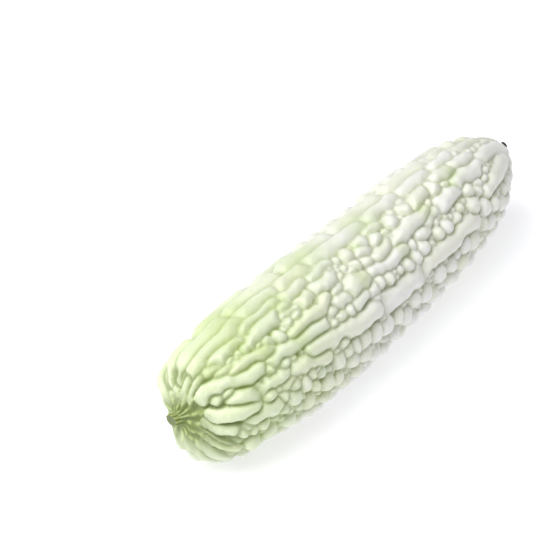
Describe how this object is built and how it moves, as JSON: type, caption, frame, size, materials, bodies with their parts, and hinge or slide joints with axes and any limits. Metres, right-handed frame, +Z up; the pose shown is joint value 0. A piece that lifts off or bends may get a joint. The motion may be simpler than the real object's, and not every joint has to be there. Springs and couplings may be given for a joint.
{
  "type": "bitter melon",
  "caption": "Whole pale bitter melon with long welts and round warts, cut with a short stub of stalk, lying on its side.",
  "frame": {"origin": "middle of the melon's box, on the surface that it lies on", "axes": "+X from the stalk end to the blossom end, +Z up"},
  "size_m": [0.2434, 0.0642, 0.0602],
  "materials": {
    "skin": "waxy, softly glossy, greener in the creases",
    "stalk": "matt, ribbed rind",
    "remnant": "dry and dull"
  },
  "bodies": {
    "root": {"fruit": "skin", "stalk": "stalk", "blossom_remnant": "remnant"}
  },
  "joints": []
}
